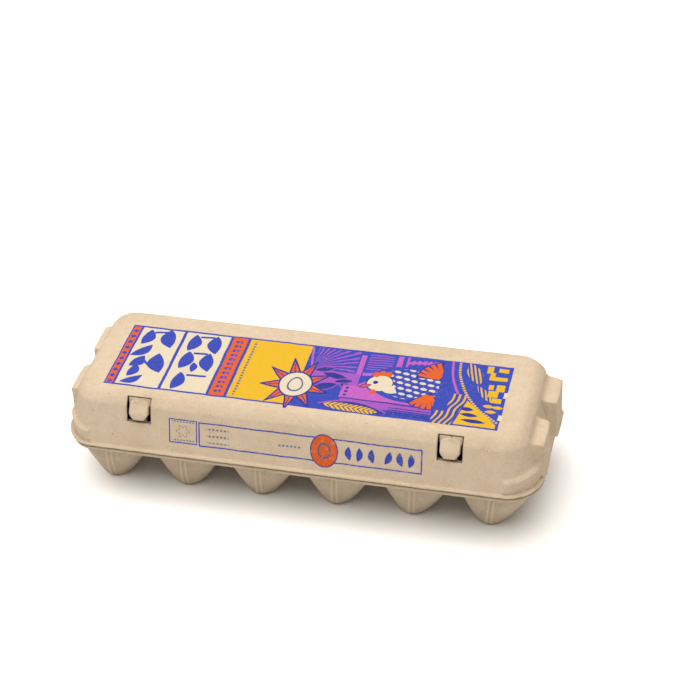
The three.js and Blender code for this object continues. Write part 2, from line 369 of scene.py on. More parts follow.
def cutWindows(bm):
    half = lockWindow["width"] / 2
    sillZ, headZ = lidFootZ + lockWindow["sill"], lidFootZ + lockWindow["head"]
    for side in (-1, 1):
        centre = side * lockWindow["centre"]

        def isNear(middle):
            return abs(middle.x - centre) < half + 4 and middle.y < -30 and middle.z > lidFootZ + 10

        def isInside(middle):
            return abs(middle.x - centre) < half and sillZ < middle.z < headZ and middle.y < -30

        for place, normal in (
                ((centre - half, 0, 0), (1, 0, 0)), ((centre + half, 0, 0), (1, 0, 0)),
                ((0, 0, sillZ), (0, 0, 1)), ((0, 0, headZ), (0, 0, 1))):
            cutFaces(bm, isNear, place, normal, 0.01)
        hole = [face for face in bm.faces if isInside(face.calc_center_median())]
        bmesh.ops.delete(bm, geom=hole, context="FACES")


trayShape = {
    "wall": 1.6,
    "steps": 40,                   # grid steps across a cell
    "rimSteps": 5,
    "rim": deckHigh.x - 3 * cellPitch - 0.15,
    "footHalf": 7.9,
    "mouthHalf": 21.3,
    "roundness": 0.9,              # of the foot, 1 being a circle
    "mouthRadius": 9.0,
    "fullness": 1.6,
    "saddle": 3.5,
    "rib": 1.2,
    "groove": 0.8,
    "footShift": (-2.9, 1.6),      # of the cups as they dried: sideways, and out from the middle
    "mouthShift": 2.1,
    "rimRadius": 24.0,
    "floor": 1.75,
    "bend": 0.9,                   # drop of the rim into a cup
    "uneven": (0.12, 14.0),
}


def cupRing(shape, share):
    # (half width, corner radius, height) of the cup's inside, from its middle (0) to its cell's edge (1)
    deck, floor = deckHigh.z, cupLow.z + shape["floor"]
    if share < 0.2:
        return shape["footHalf"] * share / 0.2, shape["footHalf"] * shape["roundness"] * share / 0.2, floor
    if share > 0.9:
        out = (share - 0.9) / 0.1
        half = mix(shape["mouthHalf"], cellPitch / 2, out ** 0.8)
        return half, mix(shape["mouthRadius"], 0.0, out), deck - shape["bend"] * (1 - out) ** 2
    climb = (share - 0.2) / 0.7
    half = mix(shape["footHalf"], shape["mouthHalf"], 1 - (1 - climb) ** shape["fullness"])
    radius = mix(half * shape["roundness"], shape["mouthRadius"], climb ** 1.4)
    return half, radius, mix(floor, deck - shape["bend"], climb)


def roundSquare(x, y, half, radius):
    # Pulls a point of a square's edge onto the square with rounded corners.
    core = half - radius
    dx, dy = abs(x) - core, abs(y) - core
    if dx <= 0 or dy <= 0 or radius <= 0:
        return x, y
    reach = math.hypot(dx, dy)
    return math.copysign(core + dx / reach * radius, x), math.copysign(core + dy / reach * radius, y)


def trayPoint(shape, column, row):
    # The inside of the tray at a grid place, counted in steps from the tray's middle.
    steps, half = shape["steps"], shape["steps"] / 2
    cellsX, cellsY = 3 * steps, steps
    overX, overY = max(abs(column) - cellsX, 0), max(abs(row) - cellsY, 0)
    if overX or overY:
        drop = 0.35 * ease(0.75, 1.0, max(overX, overY) / shape["rimSteps"])
        x = cellPitch * min(abs(column), cellsX) / steps + shape["rim"] * overX / shape["rimSteps"]
        y = cellPitch * min(abs(row), cellsY) / steps + shape["rim"] * overY / shape["rimSteps"]
        point = Vector((math.copysign(x, column), math.copysign(y, row), deckHigh.z - drop))
    else:
        cellX = min(int((column + cellsX) // steps), 5) - 2.5
        cellY = min(int((row + cellsY) // steps), 1) - 0.5
        u, v = (column - cellX * steps) / half, (row - cellY * steps) / half
        share = max(abs(u), abs(v))
        ringHalf, radius, z = cupRing(shape, share)
        x, y = (u / share * ringHalf, v / share * ringHalf) if share > 0 else (0, 0)
        x, y = roundSquare(x, y, ringHalf, radius)
        # creases down the outer sides, and low saddles between neighbouring eggs
        if abs(u) < 0.08 and 0.22 < share < 0.88 and v * cellY > 0:
            y += math.copysign(shape["rib"] if abs(u) > 0.02 else -shape["groove"], v)
        inner = abs(v) >= abs(u) and v * cellY < 0
        beside = abs(u) > abs(v) and abs(cellX + math.copysign(0.5, u)) < 2.9
        if inner or beside:
            along = min(abs(u), abs(v)) / share
            z -= shape["saddle"] * (1 - ease(0.0, 0.75, along)) * ease(0.6, 1.0, share)
        climb = clamp((share - 0.2) / 0.7)
        settled = 1 - ease(0.9, 1.0, share)
        x += mix(shape["footShift"][0], shape["mouthShift"], climb) * settled
        y += math.copysign(shape["footShift"][1] * (1 - climb), cellY)
        point = Vector((cellX * cellPitch + x, cellY * cellPitch + y, z))
    # rounded corners of the rim
    coreX, coreY = deckHigh.x - shape["rimRadius"], deckHigh.y - shape["rimRadius"]
    dx, dy = abs(point.x) - coreX, abs(point.y) - coreY
    if dx > 0 and dy > 0:
        reach = max(dx, dy)
        pull = mix(1, reach / math.hypot(dx, dy), ease(0.55, 1.0, reach / shape["rimRadius"]))
        point.x = math.copysign(coreX + dx * pull, point.x)
        point.y = math.copysign(coreY + dy * pull, point.y)
    return tuckIn(point)


def makeTray(shape, material):
    columns = 6 * shape["steps"] + 2 * shape["rimSteps"]
    rows = 2 * shape["steps"] + 2 * shape["rimSteps"]
    bm = bmesh.new()
    bmesh.ops.create_grid(bm, x_segments=columns, y_segments=rows, size=1)
    for vert in bm.verts:
        column = round(vert.co.x * columns / 2)
        row = round(vert.co.y * rows / 2)
        vert.co = trayPoint(shape, column, row)
    bmesh.ops.remove_doubles(bm, verts=bm.verts[:], dist=0.005)
    roughen(bm, *shape["uneven"], 2)
    piece = finishMesh(bm, "tray", material)
    return thicken(piece, shape["wall"])


postShape = {
    "base": 8.2, "foot": 6.8, "lower": 6.0, "upper": 5.2, "top": 4.4, "lobes": 0.2, "wall": 1.2, "sides": 40,
}


def makePost(number, material):
    low, high = boxOf(f"centre_post_{number}")
    centre = (low + high) / 2
    tall = high.z - low.z
    # (height, radius, how star-shaped)
    profile = [
        (0.1, postShape["base"], 1.0), (0.7, postShape["base"] - 0.9, 0.9), (2.2, postShape["foot"], 0.7),
        (tall * 0.35, postShape["lower"], 0.45), (tall * 0.65, postShape["upper"], 0.25),
        (tall - 2.0, postShape["top"], 0.1),
        (tall - 0.7, postShape["top"] - 0.5, 0.0), (tall - 0.1, postShape["top"] - 1.6, 0.0),
    ]
    bm = bmesh.new()
    sides = postShape["sides"]
    bmesh.ops.create_circle(bm, segments=sides, radius=1)
    index = bm.verts.layers.int.new("side")
    for order, vert in enumerate(bm.verts):
        vert[index] = order
    edges = bm.edges[:]
    for level, (z, radius, star) in enumerate(profile):
        verts = bm.verts[:]
        if level:
            verts, edges = growRing(bm, edges)
        for vert in verts:
            angle = vert[index] * 2 * math.pi / sides
            reach = radius * (1 + postShape["lobes"] * star * math.cos(4 * angle))
            vert.co = Vector((centre.x + reach * math.cos(angle), reach * math.sin(angle), low.z + z))
    bmesh.ops.contextual_create(bm, geom=edges)
    bmesh.ops.recalc_face_normals(bm, faces=bm.faces[:])
    piece = finishMesh(bm, f"post_{number}", material)
    return thicken(piece, postShape["wall"])


flapShape = {
    "wall": 1.5,
    "length": panelHigh.x,
    "lean": math.radians(14.3),
    "foldY": -48.12,
    "foldZ": 38.7,
    "height": 24.0,
    "tongueTop": 33.3,
    "tongueHalf": 7.15,
    "cornerCut": 9.0,
    "buttonFoot": 19.6,
    "buttonRise": 4.6,
    "buttonHalf": 5.7,
    "buttonToe": 3.2,
    "buttonShoulder": 28.6,
    "buttonTop": 32.4,
    "notchTop": 28.4,
    "notchOut": 9.2,
    "hem": 0.5,                    # above the fold
    "fine": 0.45,
    "coarse": 4.0,
    "rowStep": 0.55,
    "uneven": (0.08, 9.0),
}


def flapColumns(shape):
    # Places along the flap, close together where the buttons are.
    reach = 10.0
    edges = [-shape["length"], -lockWindow["centre"] - reach, -lockWindow["centre"] + reach,
             lockWindow["centre"] - reach, lockWindow["centre"] + reach, shape["length"]]
    places = [edges[0]]
    for number, (start, end) in enumerate(zip(edges, edges[1:])):
        size = shape["fine"] if number % 2 else shape["coarse"]
        count = max(2, round((end - start) / size))
        places += [mix(start, end, (step + 1) / count) for step in range(count)]
    return places


def buttonHeight(shape, x, up):
    # How far the button stands out of the flap.
    foot, shoulder, top = shape["buttonFoot"], shape["buttonShoulder"], shape["buttonTop"]
    half = mix(shape["buttonToe"], shape["buttonHalf"], ease(foot, foot + 5.0, up))
    if up > shoulder:
        half *= math.sqrt(max(1 - ((up - shoulder) / (top - shoulder)) ** 2, 0))
    across = 1 - ease(half - 0.2, half + 1.1, abs(x))
    along = ease(foot, foot + 1.2, up) * (1 - 0.72 * ease(23.5, top, up))
    return shape["buttonRise"] * across * along


def makeFlap(shape, material):
    columns = flapColumns(shape)
    rowCount = round((shape["tongueTop"] - shape["hem"]) / shape["rowStep"])
    bm = bmesh.new()
    bmesh.ops.create_grid(bm, x_segments=len(columns) - 1, y_segments=rowCount, size=1)
    outside = []
    for vert in bm.verts:
        column = round((vert.co.x + 1) / 2 * (len(columns) - 1))
        up = mix(shape["hem"], shape["tongueTop"], (vert.co.y + 1) / 2)
        x = columns[column]
        near = abs(x) - lockWindow["centre"]
        out = buttonHeight(shape, near, up)
        vert.co = Vector((x, up, out))
        above = up > shape["height"] + 0.1 and abs(near) > shape["tongueHalf"] + 0.1
        waist = mix(shape["buttonToe"], shape["buttonHalf"], ease(shape["buttonFoot"], 25, up)) + 0.9
        notch = shape["buttonFoot"] - 1.2 < up < shape["notchTop"] and waist < abs(near) < shape["notchOut"]
        if above or notch:
            outside.append(vert)
    bmesh.ops.delete(bm, geom=outside, context="VERTS")
    for side in (-1, 1):    # the two upper corners, cut off at a slant
        corner = (side * (shape["length"] - shape["cornerCut"]), shape["height"], 0)
        cutFaces(bm, lambda middle: middle.x * side > lockWindow["centre"] + shape["tongueHalf"],
                 corner, (side, 1, 0), 0.001, clear_outer=True)
    bmesh.ops.recalc_face_normals(bm, faces=bm.faces[:])
    faceTowards(bm, 2)
    bmesh.ops.translate(bm, vec=Vector((0, 0, shape["wall"] / 2)), verts=bm.verts[:])
    turn = Matrix.Rotation(math.pi / 2 - shape["lean"], 3, "X")
    bmesh.ops.rotate(bm, matrix=turn, cent=Vector((0, 0, 0)), verts=bm.verts[:])
    bmesh.ops.translate(bm, vec=Vector((0, shape["foldY"], shape["foldZ"])), verts=bm.verts[:])
    roughen(bm, *shape["uneven"], 3)
    piece = finishMesh(bm, "lock_flap", material)
    return thicken(piece, shape["wall"])


stripShape = {
    "steps": 12, "rearDepth": 0.95, "rearWall": 0.5, "frontCrown": 0.4, "frontWall": 0.3, "uneven": (0.05, 5.0),
}


def makeStrip(halfLength, path):
    # A strip along X whose section follows the path of (y, z) points.
    bm = bmesh.new()
    bmesh.ops.create_grid(bm, x_segments=120, y_segments=len(path) - 1, size=1)
    for vert in bm.verts:
        y, z = path[round((vert.co.y + 1) / 2 * (len(path) - 1))]
        vert.co = Vector((vert.co.x * halfLength, y, z))
    return bm


def makeRearHinge(material):
    low, high = boxOf("rear_hinge_web")
    middle = (low.z + high.z) / 2
    reach = (high.z - low.z) / 2 - 0.15
    path = []
    for step in range(stripShape["steps"] + 1):
        angle = math.pi * (step / stripShape["steps"] - 0.5)
        bulge = max(math.cos(angle), 0) ** 0.6 if 0 < step < stripShape["steps"] else 0
        path.append((high.y - 1.1 + stripShape["rearDepth"] * bulge, middle + reach * math.sin(angle)))
    bm = makeStrip(high.x, path)
    bmesh.ops.recalc_face_normals(bm, faces=bm.faces[:])
    faceTowards(bm, 1)
    roughen(bm, *stripShape["uneven"], 4)
    piece = finishMesh(bm, "rear_hinge", material)
    return thicken(piece, stripShape["rearWall"])


def makeFrontHinge(material):
    low, high = boxOf("front_hinge_web")
    path = [(mix(low.y, high.y, step / 8), low.z + 0.1 + stripShape["frontCrown"] * math.sin(math.pi * step / 8))
            for step in range(9)]
    bm = makeStrip(high.x, path)
    faceTowards(bm, 2)
    piece = finishMesh(bm, "front_hinge", material)
    return thicken(piece, stripShape["frontWall"])


def feed(tree, slot, item):
    # Links a field or socket to an input, or gives the input a plain value.
    item = getattr(item, "socket", item)
    if isinstance(item, bpy.types.NodeSocket):
        tree.links.new(item, slot)
    else:
        slot.default_value = (*item, 1) if slot.type == "RGBA" else item


def addNode(tree, kind, inputs, group=None):
    node = tree.nodes.new(kind)
    if group:
        node.node_tree = group
    for label, item in inputs.items():
        feed(tree, node.inputs[label], item)
    return node


class Field:    # a number that changes over the surface
    def __init__(self, tree, socket):
        self.tree, self.socket = tree, socket

    def math(self, operation, *others, limit=False):
        node = self.tree.nodes.new("ShaderNodeMath")
        node.operation, node.use_clamp = operation, limit
        for slot, item in zip(node.inputs, (self, *others)):
            feed(self.tree, slot, item)
        return Field(self.tree, node.outputs[0])

    def __add__(self, other): return self.math("ADD", other)
    def __sub__(self, other): return self.math("SUBTRACT", other)
    def __mul__(self, other): return self.math("MULTIPLY", other)
    def __truediv__(self, other): return self.math("DIVIDE", other)
    def __neg__(self): return self.math("MULTIPLY", -1.0)
    def __abs__(self): return self.math("ABSOLUTE")
    def both(self, other): return self.math("MAXIMUM", other)     # of two outlines, where both hold
    def either(self, other): return self.math("MINIMUM", other)
    def repeat(self, length): return self.math("WRAP", length / 2, -length / 2)


def axes(tree, vector):
    split = tree.nodes.new("ShaderNodeSeparateXYZ")
    tree.links.new(vector, split.inputs[0])
    return [Field(tree, output) for output in split.outputs]


def noiseField(tree, vector, size, detail=2.0, roughness=0.5, distortion=0.0, stretch=None):
    # Noise with features about size mm across.
    scale = [share / size for share in (stretch or (1, 1, 1))]
    place = addNode(tree, "ShaderNodeMapping", {"Vector": vector, "Scale": scale})
    grain = addNode(tree, "ShaderNodeTexNoise", {
        "Vector": place.outputs[0], "Scale": 1.0, "Detail": detail, "Roughness": roughness,
        "Distortion": distortion})
    return Field(tree, grain.outputs[0])


def band(field, low, high):
    # 0 below low, 1 above high.
    return ((field - low) / (high - low)).math("MULTIPLY", 1.0, limit=True)


def inside(outline, soft=0.3):
    # 1 inside an outline, where its distance is below 0.
    return outline.math("MULTIPLY_ADD", -1.0 / soft, 0.5, limit=True)


def blendColour(tree, share, first, second):
    node = tree.nodes.new("ShaderNodeMix")
    node.data_type = "RGBA"
    for slot, item in zip((0, 6, 7), (share, first, second)):    # its factor and two colours
        feed(tree, node.inputs[slot], item)
    return node.outputs[2]


def newGroup(name, inputs, outputs):
    group = bpy.data.node_groups.new(name, "ShaderNodeTree")
    for direction, sockets in (("INPUT", inputs), ("OUTPUT", outputs)):
        for label, kind in sockets:
            group.interface.new_socket(label, in_out=direction, socket_type=f"NodeSocket{kind}")
    return group, group.nodes.new("NodeGroupInput"), group.nodes.new("NodeGroupOutput")


lookedAt = 1.65    # how brightly the top is lit, so that a finish can be given as it looks there


def finish(red, green, blue):
    # A colour as it should look on the lit top, made the surface's own.
    return tuple((((value + 0.055) / 1.055) ** 2.4) / lookedAt for value in (red, green, blue))


inks = {
    "blue": finish(0.25, 0.32, 0.77), "deepBlue": finish(0.20, 0.24, 0.62), "orange": finish(0.96, 0.42, 0.15),
    "yellow": finish(0.99, 0.78, 0.18), "purple": finish(0.70, 0.38, 0.82), "pink": finish(0.82, 0.42, 0.82),
    "bare": finish(0.97, 0.91, 0.80), "grey": finish(0.40, 0.42, 0.60),
}

pulpLook = {
    "colour": finish(0.97, 0.885, 0.775),
    "shade": finish(0.90, 0.80, 0.67),
    "dark": finish(0.80, 0.69, 0.55),
    "fleck": finish(0.42, 0.32, 0.24),
    "mottle": 6.0, "cloud": 26.0, "fibre": 1.1,    # how wide each is
    "gloss": 0.22, "roughness": 0.9, "bump": 0.8, "bumpDepth": 0.6,
}


def makePulpGroup():
    # Moulded paper: clouds of tone, tangled fibres, flecks, and the mesh of the mould as height.
    group, source, result = newGroup("pulpFibre", [
        ("Place", "Vector"), ("Colour", "Color"), ("Shade", "Color"),
        ("Roughness", "Float"),
    ], [
        ("Colour", "Color"), ("Roughness", "Float"), ("Height", "Float"),
        ("Fuzz", "Float"),
    ])
    place = source.outputs["Place"]
    cloud = noiseField(group, place, pulpLook["cloud"], detail=3.0)
    mottle = noiseField(group, place, pulpLook["mottle"], detail=4.0, roughness=0.65)
    fuzz = noiseField(group, place, 1.5, detail=4.0, roughness=0.75)
    tone = band(cloud * 0.3 + mottle * 0.4 + fuzz * 0.3, 0.34, 0.66)
    colour = blendColour(group, tone, source.outputs["Shade"], source.outputs["Colour"])
    # thin contours of stretched, twisted noise make fibres lying every way
    fibres = None
    for stretch, length, twist in (
            ((1, 0.22, 1), 1.3, 1.4), ((0.22, 1, 0.5), 1.1, 2.4), ((0.6, 0.6, 0.25), 0.9, 3.4)):
        grain = noiseField(group, place, pulpLook["fibre"] * length, 1.0, distortion=twist, stretch=stretch)
        line = inside(abs(grain - 0.5) - 0.012, 0.03)
        fibres = line if fibres is None else fibres.both(line)
    sparse = fibres * band(fuzz, 0.42, 0.62)
    colour = blendColour(group, sparse * 0.22, colour, (1.0, 0.93, 0.82))
    dents = band(noiseField(group, place, 2.6, detail=3.0), 0.62, 0.78)
    colour = blendColour(group, dents * 0.5, colour, source.outputs["Shade"])
    colour = blendColour(group, band(fuzz, 0.52, 0.70) * 0.35, colour, pulpLook["dark"])
    # flecks of bark and of old print
    spots = addNode(group, "ShaderNodeTexVoronoi", {"Vector": place, "Scale": 0.42, "Randomness": 1.0})
    pick = axes(group, spots.outputs["Color"])[0]
    edge = Field(group, spots.outputs["Distance"]) - band(pick, 0.80, 1.0) * 0.17 + fuzz * 0.05
    fleck = inside(edge, 0.05) * band(pick, 0.8, 0.81)
    colour = blendColour(group, fleck * 0.75, colour, pulpLook["fleck"])
    # height: fibres, fine tooth, and the mould's wire mesh showing faintly
    x, y, z = axes(group, place)
    mesh = ((x * 3.6).math("SINE") * ((y + z * 0.6) * 3.6).math("SINE")) * band(mottle, 0.4, 0.7)
    height = fuzz * 0.55 + mottle * 0.8 + fibres * 0.16 + mesh * 0.05 - fleck * 0.1 - dents * 0.2
    rough = Field(group, source.outputs["Roughness"]) - fibres * 0.06 + fuzz * 0.05
    for label, item in (("Roughness", rough), ("Height", height), ("Fuzz", fuzz), ("Colour", colour)):
        feed(group, result.inputs[label], item)
    return group


class Print:
    # Draws in mm on a flat place; later inks lie over earlier ones.
    def __init__(self, tree, x, y, colour):
        self.tree, self.x, self.y, self.colour = tree, x, y, colour
        self.cover = None

    def local(self, cx, cy, turn=0.0):
        dx, dy = self.x - cx, self.y - cy
        if not turn:
            return dx, dy
        c, s = math.cos(math.radians(turn)), math.sin(math.radians(turn))
        return dx * c + dy * s, dy * c - dx * s

    def box(self, left, right, low, high, turn=0.0):
        u, v = self.local((left + right) / 2, (low + high) / 2, turn)
        return (abs(u) - (right - left) / 2).both(abs(v) - (high - low) / 2)

    def oval(self, cx, cy, rx, ry, turn=0.0):
        u, v = self.local(cx, cy, turn)
        u, v = u / rx, v / ry
        return ((u * u + v * v).math("SQRT") - 1.0) * min(rx, ry)

    def leaf(self, cx, cy, half, width, turn=0.0, bend=0.0):
        # A pointed leaf, bent along its length.
        u, v = self.local(cx, cy, turn)
        square = (u / half).math("POWER", 2.0)
        return (abs(v - square * bend) - width) + square * width

    def line(self, x1, y1, x2, y2, width):
        length = math.hypot(x2 - x1, y2 - y1)
        u, v = self.local((x1 + x2) / 2, (y1 + y2) / 2, math.degrees(math.atan2(y2 - y1, x2 - x1)))
        return (abs(v) - width / 2).both(abs(u) - length / 2)

    def half(self, x1, y1, x2, y2):
        # Below 0 on the right of the way from the first point to the second.
        turn = math.degrees(math.atan2(y2 - y1, x2 - x1))
        return self.local(x1, y1, turn)[1]

    def lay(self, outline, ink, soft=0.35):
        share = inside(outline, soft)
        self.colour = blendColour(self.tree, share, self.colour, inks[ink])
        self.cover = share if self.cover is None else self.cover.both(share)

    def layEach(self, shape, ink, *places):
        for place in places:
            self.lay(shape(*place), ink)


def drawStrips(art):
    # The left of the label: a narrow border strip, two bare panels with leaf shapes, a second strip.
    art.lay(art.box(-120.4, 120.6, -33.8, 25.6), "blue")
    art.lay(art.box(-119.4, -115, -32.4, 24.2), "orange")
    tooth = (art.y + 30.6).repeat(5.6)
    art.lay((abs(art.x + 117.2) + abs(tooth) - 1.9).both(art.box(-119, -115.4, -32, 24)), "blue")
    art.layEach(art.box, "bare", (-113.5, -86.4, -32.3, 24), (-84.5, -56.2, -32.3, 24))
    art.lay(art.box(-54.4, -45.2, -32.4, 24.2), "orange")
    art.layEach(
        art.leaf, "blue",
        (-107, 14.8, 7.8, 4, 80, 1.8), (-94.8, 15.2, 9.2, 4.8, 103, -1.8), (-106.5, 0.6, 8.2, 3.4, 48, 2),
        (-95, -9.6, 9.8, 5.2, 106, -2.2), (-106, -9.8, 6.4, 3.9, 60, 1.6), (-106, -18.6, 6.2, 3.3, 80, 1.6),
        (-104.4, -27.6, 7.6, 3, 35, 1.8), (-77, 14.2, 8.4, 4.2, 84, 1.8), (-64.6, 14.2, 8.8, 4.4, 100, -1.8),
        (-77, -3.2, 8.8, 4.3, 84, 1.8), (-64.6, -3.2, 9.2, 4.4, 100, -1.8), (-70.8, -9, 4.8, 2.4, 95, 0.6),
        (-76, -23.4, 8.6, 4, 84, 1.8))
    art.layEach(
        art.line, "blue", (-105, 20.2, -96, 21.6, 1.8), (-75, 20.6, -66, 21.4, 1.8), (-75, 4, -66, 4.8, 1.8),
        (-73, -17.2, -60.5, -16.4, 1.8), (-103, -8, -97, -13.5, 1.8))
    # little marks down the second strip
    step = (art.y + 2).repeat(4.4)
    eye = (abs(art.x + 49.4) - 0.6).both(abs(step + 0.4) - 0.7)
    marks = (abs(art.x + 49.8) - 2.1).both(abs(step) - 1.2).both(-eye)
    art.lay(marks.both(art.box(-53, -46.5, -31.5, 23)), "blue", 0.5)


def drawYellow(art):
    art.lay(art.box(-43.3, -3, -32.4, 24.2), "yellow")
    tick = (art.y + 1).repeat(2.6)
    art.lay((abs(art.x + 39.6) - 0.7).both(abs(tick) - 0.75).both(art.box(-42, -38, -30, 22)), "grey", 0.6)


def drawSun(art):
    cx, cy, squash = -5.4, -13.4, 0.86
    u, v = (art.x - cx) / squash, art.y - cy
    reach = (u * u + v * v).math("SQRT")
    angle = v.math("ARCTAN2", u) + 0.22
    count = 9
    aside = angle.repeat(2 * math.pi / count)
    ray = abs(aside) * reach + (reach - 23.5) * 0.30
    frame = art.box(-43.4, 40, -36.5, 24.8)
    art.lay((ray - 0.9).both(reach - 25.5).both(frame), "deepBlue")
    art.lay((ray + 0.5).both(reach - 22.5).both(frame), "orange")
    art.lay((abs(aside) * reach - 0.35).both(reach - 20).both(frame), "deepBlue")
    art.lay(reach - 12.2, "deepBlue")
    art.lay(reach - 11, "bare")
    # an egg on the disc
    egg = ((u / (v * -0.12 + 5)).math("POWER", 2) + (v / 6.2).math("POWER", 2)).math("SQRT") - 1
    art.lay(abs(egg) * 5 - 0.55, "grey")


def drawFields(art):
    # Blue and purple ground cut with lines, between the sun and the bird.
    field = art.box(-4, 80, -33, 24.8).both(art.half(-3.6, -40, -6.6, 30))
    art.lay(field, "blue")
    # straws fanning out from a corner
    u, v = art.local(0, 6)
    fan = v.math("ARCTAN2", u)
    straw = abs((fan + art.wobble * 0.10).repeat(0.16)) - 0.030
    art.lay((straw * 16).both(art.box(0.5, 27, 4, 24)), "purple")
    # furrows
    furrow = abs((art.y + art.x * -0.06 + art.wobble * 1.2).repeat(2.3)) - 0.45
    art.lay(furrow.both(art.box(33, 48, 6.5, 23)), "purple")
    art.lay(art.box(32, 60, 3, 5.6, 4), "pink")
    art.layEach(art.box, "pink", (28, 31.2, -12, 21.5), (50.2, 53.6, 10, 24), (56, 57.4, 13, 24))
    saw = abs((art.x + 1).repeat(3.4)) * 1.5
    ridge = abs(art.y - 20.6 - (art.x - 72) * (art.x - 72) * -0.010) - 2.2
    art.lay((ridge + saw * 0.55).both(art.box(56.5, 88, 10, 24.6)), "pink")
    art.layEach(art.line, "pink", (-3.6, 24, 1.2, -2, 1.3), (40, -2.4, 33, -9, 5))
    # ploughed blocks
    art.lay(art.box(2, 31, -9, 2.6), "purple")
    for cx, cy, half, width, turn in (
            (16.5, -1.5, 8.5, 2.4, -12), (8.5, 3.6, 6, 2, 15), (22.5, -5.6, 5.5, 1.9, 10),
            (12, -12, 8, 3, 24), (25.6, -10.6, 5.5, 2.2, -30)):
        art.lay(art.leaf(cx, cy, half + 1, width + 0.8, turn), "purple")
        art.lay(art.leaf(cx, cy, half, width, turn), "deepBlue")
    # a low meadow, with dashes on it
    art.lay(art.box(23, 80, -20.4, -8.6), "pink")
    art.lay(art.box(24, 80, -27.6, -20.9), "purple")
    art.lay(art.line(24, -20.8, 80, -21.6, 0.9), "deepBlue")
    dash = abs((art.y + art.wobble * 0.8).repeat(1.9)) - 0.4
    art.lay(dash.both(art.box(54, 79, -31.5, -24.5)), "deepBlue")
    post = (abs((art.y + 14.4).repeat(3.2)) - 0.9).both(abs(art.x - 26) - 0.9)
    art.lay(post.both(art.box(23, 29, -20, -9)), "deepBlue")
    # an ear of corn lying along the bottom
    art.lay(art.leaf(33, -27.6, 21, 5.2, -3, -1.4), "purple")
    art.lay(art.leaf(33, -28.4, 20, 4.5, -3, -1.2), "deepBlue")
    u, v = art.local(32, -29.2, -4)
    grain = u - abs(v) * 1.1
    seed = abs(grain.repeat(3.1)) - 1.05
    ear = (abs(v) - 3.2) + (u / 17).math("POWER", 4) * 3.2
    art.lay(seed.both(ear), "yellow")


def drawHen(art):
    # A plain hen in flecked feathers, wings and tail in stripes.
    art.lay(art.oval(61, -2, 24, 16.5, -6), "blue")
    u, v = art.local(61, -2, -12)
    row = v.repeat(4.6)
    shifted = (u + (v / 4.6).math("ROUND") * 2.6).repeat(5.2)
    fleck = ((shifted / 2).math("POWER", 2) + (row / 1.15).math("POWER", 2)).math("SQRT") - 1
    body = art.oval(62.5, -1.5, 19.5, 14, -6)
    art.lay(fleck.both(body), "bare")
    # head, comb and beak
    art.lay(art.oval(44, -3.5, 8.6, 8, 30), "deepBlue")
    art.lay(art.oval(44.2, -3.5, 7.8, 7.2, 30), "bare")
    art.lay(art.leaf(50.5, -8, 6, 3.6, -28), "bare")
    art.layEach(art.oval, "orange", (40.6, 4.2, 2.1, 2.4), (44.2, 5.8, 2.1, 2.4), (48, 5.6, 2.1, 2.4))
    art.lay(art.leaf(36, -7.4, 4.2, 1.7, 28), "deepBlue")
    art.lay(art.leaf(36.2, -7.3, 3.2, 1, 28), "orange")
    art.lay(art.oval(41.4, -3.2, 1.5, 1.5), "deepBlue")
    art.lay(art.oval(41.8, -12.2, 1.5, 2.5), "orange")
    # wing and tail
    for cx, cy, turn, spread in ((82, 6, 141, 17), (76, -6, 262, 16)):
        u, v = art.local(cx, cy, turn)
        reach = (u * u + v * v).math("SQRT")
        angle = v.math("ARCTAN2", u)
        wedge = abs(angle) - 0.62
        art.lay((wedge * 12 - 0.9).both(reach - spread - 0.9), "deepBlue")
        plume = abs(angle.repeat(0.248)) * reach - 1.35
        art.lay(plume.both(wedge * 12).both(reach - spread).both(reach * -1 + 3.5), "orange")


